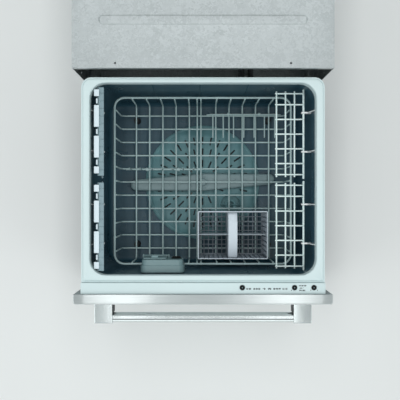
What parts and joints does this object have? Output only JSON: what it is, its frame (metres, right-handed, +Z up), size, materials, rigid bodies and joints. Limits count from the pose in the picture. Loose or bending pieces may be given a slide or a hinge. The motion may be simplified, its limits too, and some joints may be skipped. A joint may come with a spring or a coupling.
{
  "type": "dishwasher drawer",
  "caption": "Built-in dishwasher with a pull-out wash drawer on telescopic runners, lifting lid, wire racks, cutlery basket and bar handle.",
  "frame": {"origin": "on the floor, under the middle of the machine with its drawer pulled out", "axes": "+X to the right seen from the front, +Y from the drawer's front to the chassis back, +Z up"},
  "size_m": [0.599, 1.14, 0.41],
  "materials": {
    "chassis_steel": "galvanised sheet, satin",
    "runner_steel": "zinc plated",
    "front_steel": "horizontal brushing",
    "handle_steel": "fine brushing",
    "rim_plastic": "pale grey satin moulding",
    "tub_plastic": "slate grey satin moulding",
    "dark_plastic": "textured moulding",
    "lid_plastic": "satin moulding",
    "seal_rubber": "matt",
    "button_black": "gloss",
    "board_green": "satin",
    "motor_case": "cast",
    "rotor_plastic": "satin",
    "heater_steel": "rolled",
    "filter_grey": "satin",
    "arm_grey": "satin",
    "rack_coating": "coated wire",
    "comb_plastic": "satin",
    "basket_plastic": "satin",
    "clip_white": "gloss",
    "dispenser_grey": "satin",
    "hose_rubber": "matt",
    "valve_plastic": "gloss",
    "screw_steel": "machined"
  },
  "bodies": {
    "chassis": {"base_pan": "chassis_steel", "left_side_panel": "chassis_steel", "right_side_panel": "chassis_steel", "top_panel": "chassis_steel", "back_panel": "chassis_steel", "front_brace": "chassis_steel", "levelling_feet": "screw_steel", "outer_runners": "runner_steel", "lid_guides": "dark_plastic", "lid_actuators": "dark_plastic", "controller_box": "dark_plastic", "inlet_valve": "valve_plastic", "drain_outlet": "dark_plastic", "cable_gland": "dark_plastic", "hose_bracket": "dark_plastic", "link_hoses": "hose_rubber"},
    "lid": {"lid": "lid_plastic", "lid_seal": "seal_rubber", "lid_rods": "screw_steel"},
    "left_runner": {"left_middle_runner": "runner_steel"},
    "right_runner": {"right_middle_runner": "runner_steel"},
    "drawer": {"inner_runners": "runner_steel", "tub_brackets": "chassis_steel", "tub": "tub_plastic", "rim_frame": "rim_plastic", "control_strip": "rim_plastic", "control_board": "board_green", "front_frame": "dark_plastic", "front_panel": "front_steel", "left_handle_post": "handle_steel", "right_handle_post": "handle_steel", "handle_bar": "handle_steel", "handle_screws": "screw_steel", "motor": "motor_case", "heater_plate": "heater_steel", "filter_plate": "filter_grey", "arm_cap": "arm_grey", "drain_pump": "dark_plastic", "hose_elbow": "dark_plastic", "dispenser_body": "dispenser_grey", "base_rack": "rack_coating", "rack_sides": "rack_coating", "rack_feet": "seal_rubber", "cutlery_basket": "basket_plastic", "basket_dividers": "basket_plastic", "rack_clips": "clip_white"},
    "power_button": {"power_button": "button_black"},
    "start_button": {"start_button": "button_black"},
    "lock_button": {"lock_button": "button_black"},
    "wash_rotor": {"wash_rotor": "rotor_plastic"},
    "spray_arm": {"spray_arm": "arm_grey"},
    "drain_filter": {"drain_filter": "filter_grey"},
    "dispenser_door": {"dispenser_door": "dispenser_grey"},
    "rinse_cap": {"rinse_cap": "button_black"},
    "rear_tine_row": {"rear_tine_row": "rack_coating"},
    "front_tine_row": {"front_tine_row": "rack_coating"},
    "left_front_cup_rack": {"left_front_cup_rack": "comb_plastic"},
    "left_rear_cup_rack": {"left_rear_cup_rack": "comb_plastic"},
    "right_front_cup_rack": {"right_front_cup_rack": "rack_coating"},
    "right_rear_cup_rack": {"right_rear_cup_rack": "rack_coating"}
  },
  "joints": [
    {"name": "drawer_slide", "type": "slide", "parent": "chassis", "child": "drawer", "axis": [0, -1, 0], "range_m": [-0.515, 0], "deforming": ["link_hoses"]},
    {"name": "left_runner_slide", "type": "slide", "parent": "chassis", "child": "left_runner", "axis": [0, -1, 0], "range_m": [-0.2575, 0]},
    {"name": "right_runner_slide", "type": "slide", "parent": "chassis", "child": "right_runner", "axis": [0, -1, 0], "range_m": [-0.2575, 0]},
    {"name": "lid_lift", "type": "slide", "parent": "chassis", "child": "lid", "axis": [0, 0, 1], "range_m": [-0.01, 0]},
    {"name": "power_button_press", "type": "slide", "parent": "drawer", "child": "power_button", "axis": [0, 0, -1], "range_m": [0, 0.001], "stiffness_N_per_m": 200, "springref_m": -0.0002},
    {"name": "start_button_press", "type": "slide", "parent": "drawer", "child": "start_button", "axis": [0, 0, -1], "range_m": [0, 0.001], "stiffness_N_per_m": 200, "springref_m": -0.0002},
    {"name": "lock_button_press", "type": "slide", "parent": "drawer", "child": "lock_button", "axis": [0, 0, -1], "range_m": [0, 0.001], "stiffness_N_per_m": 200, "springref_m": -0.0002},
    {"name": "rotor_spin", "type": "hinge", "parent": "drawer", "child": "wash_rotor", "pos_m": [0, -0.231, 0.098], "axis": [0, 0, 1], "continuous": true},
    {"name": "arm_spin", "type": "hinge", "parent": "drawer", "child": "spray_arm", "pos_m": [0, -0.231, 0.098], "axis": [0, 0, 1], "continuous": true},
    {"name": "filter_turn", "type": "hinge", "parent": "drawer", "child": "drain_filter", "pos_m": [0.07799, -0.29295, 0.098], "axis": [0, 0, 1], "range_deg": [0, 90]},
    {"name": "dispenser_door_hinge", "type": "hinge", "parent": "drawer", "child": "dispenser_door", "pos_m": [-0.117, -0.42, 0.261], "axis": [-1, 0, 0], "range_deg": [0, 95]},
    {"name": "rinse_cap_turn", "type": "hinge", "parent": "drawer", "child": "rinse_cap", "pos_m": [-0.065, -0.4246, 0.291], "axis": [0, 1, 0], "range_deg": [0, 90]},
    {"name": "rear_tine_hinge", "type": "hinge", "parent": "drawer", "child": "rear_tine_row", "pos_m": [0.112, -0.048, 0.1406], "axis": [-1, 0, 0], "range_deg": [0, 90]},
    {"name": "front_tine_hinge", "type": "hinge", "parent": "drawer", "child": "front_tine_row", "pos_m": [-0.108, -0.197, 0.1406], "axis": [1, 0, 0], "range_deg": [0, 90]},
    {"name": "left_front_cup_rack_hinge", "type": "hinge", "parent": "drawer", "child": "left_front_cup_rack", "pos_m": [-0.24591, -0.39641, 0.305], "axis": [0, 1, 0], "range_deg": [0, 90]},
    {"name": "left_rear_cup_rack_hinge", "type": "hinge", "parent": "drawer", "child": "left_rear_cup_rack", "pos_m": [-0.24591, -0.17641, 0.305], "axis": [0, 1, 0], "range_deg": [0, 90]},
    {"name": "right_front_cup_rack_hinge", "type": "hinge", "parent": "drawer", "child": "right_front_cup_rack", "pos_m": [0.24591, -0.39641, 0.305], "axis": [0, 1, 0], "range_deg": [0, 90]},
    {"name": "right_rear_cup_rack_hinge", "type": "hinge", "parent": "drawer", "child": "right_rear_cup_rack", "pos_m": [0.24591, -0.17641, 0.305], "axis": [0, 1, 0], "range_deg": [0, 90]}
  ],
  "couplings": [
    {"joint": "left_runner_slide", "follows": "drawer_slide", "ratio": 0.5},
    {"joint": "right_runner_slide", "follows": "drawer_slide", "ratio": 0.5}
  ]
}
